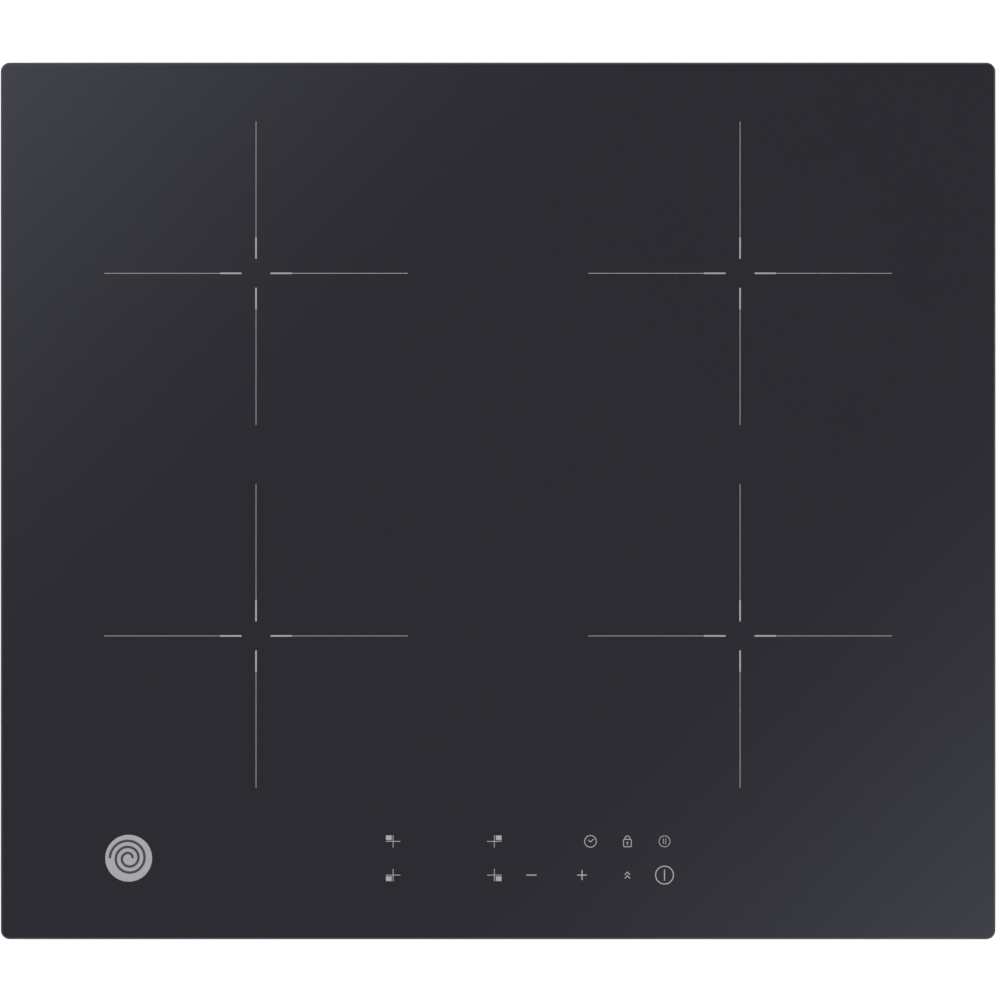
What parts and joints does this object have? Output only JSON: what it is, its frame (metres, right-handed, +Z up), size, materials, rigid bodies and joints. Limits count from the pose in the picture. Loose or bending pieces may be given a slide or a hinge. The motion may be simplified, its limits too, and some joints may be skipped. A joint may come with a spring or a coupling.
{
  "type": "induction hob",
  "caption": "Built-in black glass induction hob with printed cooking zones and front touch keys, sprung coils, cooling fans, power boards and swivelling worktop brackets.",
  "frame": {"origin": "centre of the hob on the worktop's upper surface, which is the underside of the perimeter seal", "axes": "+X to the cook's right, +Y away from the cook towards the wall, +Z up out of the worktop"},
  "size_m": [0.59, 0.52, 0.057],
  "materials": {
    "glass_ceramic": "polished black glass-ceramic",
    "enamel_print": "fired light-grey enamel",
    "foam_seal": "closed-cell foam",
    "silicone": "matt",
    "galvanised_steel": "hot-dip galvanised sheet",
    "zinc_screws": "zinc plated",
    "spring_steel": "bright drawn wire",
    "aluminium_sheet": "mill finish",
    "aluminium_extrusion": "extruded",
    "former_plastic": "glass-filled moulding",
    "litz_copper": "enamelled stranded copper",
    "ferrite": "sintered, matt",
    "mica": "pressed mica paper",
    "sensor_silicone": "white silicone sleeve",
    "circuit_board": "green solder mask",
    "control_board": "dark solder mask",
    "package_black": "moulded package",
    "capacitor_case": "potted box",
    "choke": "copper wound ferrite ring",
    "fan_plastic": "black moulding",
    "rotor_plastic": "dark grey moulding",
    "carrier_plastic": "light-grey moulding",
    "display_plastic": "black module",
    "box_plastic": "charcoal moulding",
    "block_plastic": "cream moulding",
    "grip_rubber": "matt",
    "wire_insulation": "silicone sheathed"
  },
  "bodies": {
    "casing": {"glass_plate": "glass_ceramic", "printed_markings": "enamel_print", "worktop_seal": "foam_seal", "glass_bond": "silicone", "upper_frame": "galvanised_steel", "base_tray": "galvanised_steel", "tray_screws": "zinc_screws", "coil_plate_right": "aluminium_sheet", "coil_plate_left": "aluminium_sheet", "guide_screws": "zinc_screws", "power_board_left": "circuit_board", "power_board_right": "circuit_board", "heatsink_left": "aluminium_extrusion", "heatsink_right": "aluminium_extrusion", "power_transistors": "package_black", "film_capacitors": "capacitor_case", "line_chokes": "choke", "fan_housing_left": "fan_plastic", "fan_housing_right": "fan_plastic", "board_screws": "zinc_screws", "control_board": "control_board", "control_carrier": "carrier_plastic", "touch_springs": "spring_steel", "display_modules": "display_plastic", "terminal_box": "box_plastic", "terminal_block": "block_plastic", "cord_grip": "grip_rubber", "bracket_screws": "zinc_screws", "wiring_harness": "wire_insulation", "coil_springs_rear_left": "spring_steel", "coil_springs_rear_right": "spring_steel", "coil_springs_front_left": "spring_steel", "coil_springs_front_right": "spring_steel"},
    "coil_rear_left": {"coil_former_rear_left": "former_plastic", "coil_winding_rear_left": "litz_copper", "ferrite_bars_rear_left": "ferrite", "mica_sheet_rear_left": "mica", "temperature_sensor_rear_left": "sensor_silicone"},
    "coil_rear_right": {"coil_former_rear_right": "former_plastic", "coil_winding_rear_right": "litz_copper", "ferrite_bars_rear_right": "ferrite", "mica_sheet_rear_right": "mica", "temperature_sensor_rear_right": "sensor_silicone"},
    "coil_front_left": {"coil_former_front_left": "former_plastic", "coil_winding_front_left": "litz_copper", "ferrite_bars_front_left": "ferrite", "mica_sheet_front_left": "mica", "temperature_sensor_front_left": "sensor_silicone"},
    "coil_front_right": {"coil_former_front_right": "former_plastic", "coil_winding_front_right": "litz_copper", "ferrite_bars_front_right": "ferrite", "mica_sheet_front_right": "mica", "temperature_sensor_front_right": "sensor_silicone"},
    "fan_left": {"fan_rotor_left": "rotor_plastic"},
    "fan_right": {"fan_rotor_right": "rotor_plastic"},
    "terminal_flap": {"terminal_cover": "box_plastic"},
    "bracket_rear_left": {"worktop_bracket_rear_left": "galvanised_steel"},
    "bracket_rear_right": {"worktop_bracket_rear_right": "galvanised_steel"},
    "bracket_front_left": {"worktop_bracket_front_left": "galvanised_steel"},
    "bracket_front_right": {"worktop_bracket_front_right": "galvanised_steel"}
  },
  "joints": [
    {"name": "coil_rear_left_travel", "type": "slide", "parent": "casing", "child": "coil_rear_left", "axis": [0, 0, 1], "range_m": [-0.004, 0], "stiffness_N_per_m": 1500, "springref_m": 0.006, "deforming": ["coil_springs_rear_left"]},
    {"name": "coil_rear_right_travel", "type": "slide", "parent": "casing", "child": "coil_rear_right", "axis": [0, 0, 1], "range_m": [-0.004, 0], "stiffness_N_per_m": 1500, "springref_m": 0.006, "deforming": ["coil_springs_rear_right"]},
    {"name": "coil_front_left_travel", "type": "slide", "parent": "casing", "child": "coil_front_left", "axis": [0, 0, 1], "range_m": [-0.004, 0], "stiffness_N_per_m": 1500, "springref_m": 0.006, "deforming": ["coil_springs_front_left"]},
    {"name": "coil_front_right_travel", "type": "slide", "parent": "casing", "child": "coil_front_right", "axis": [0, 0, 1], "range_m": [-0.004, 0], "stiffness_N_per_m": 1500, "springref_m": 0.006, "deforming": ["coil_springs_front_right"]},
    {"name": "fan_left_spin", "type": "hinge", "parent": "casing", "child": "fan_left", "pos_m": [-0.089, 0.15, -0.042], "axis": [0, 0, 1], "continuous": true},
    {"name": "fan_right_spin", "type": "hinge", "parent": "casing", "child": "fan_right", "pos_m": [0.089, 0.15, -0.042], "axis": [0, 0, 1], "continuous": true},
    {"name": "terminal_cover_hinge", "type": "hinge", "parent": "casing", "child": "terminal_flap", "pos_m": [0.193, 0.2384, -0.0474], "axis": [-1, 0, 0], "range_deg": [0, 90]},
    {"name": "bracket_rear_left_swivel", "type": "hinge", "parent": "casing", "child": "bracket_rear_left", "pos_m": [-0.267, 0.15, -0.0251], "axis": [0, 0, -1], "range_deg": [0, 90]},
    {"name": "bracket_rear_right_swivel", "type": "hinge", "parent": "casing", "child": "bracket_rear_right", "pos_m": [0.267, 0.15, -0.0251], "axis": [0, 0, 1], "range_deg": [0, 90]},
    {"name": "bracket_front_left_swivel", "type": "hinge", "parent": "casing", "child": "bracket_front_left", "pos_m": [-0.267, -0.15, -0.0251], "axis": [0, 0, 1], "range_deg": [0, 90]},
    {"name": "bracket_front_right_swivel", "type": "hinge", "parent": "casing", "child": "bracket_front_right", "pos_m": [0.267, -0.15, -0.0251], "axis": [0, 0, -1], "range_deg": [0, 90]}
  ]
}
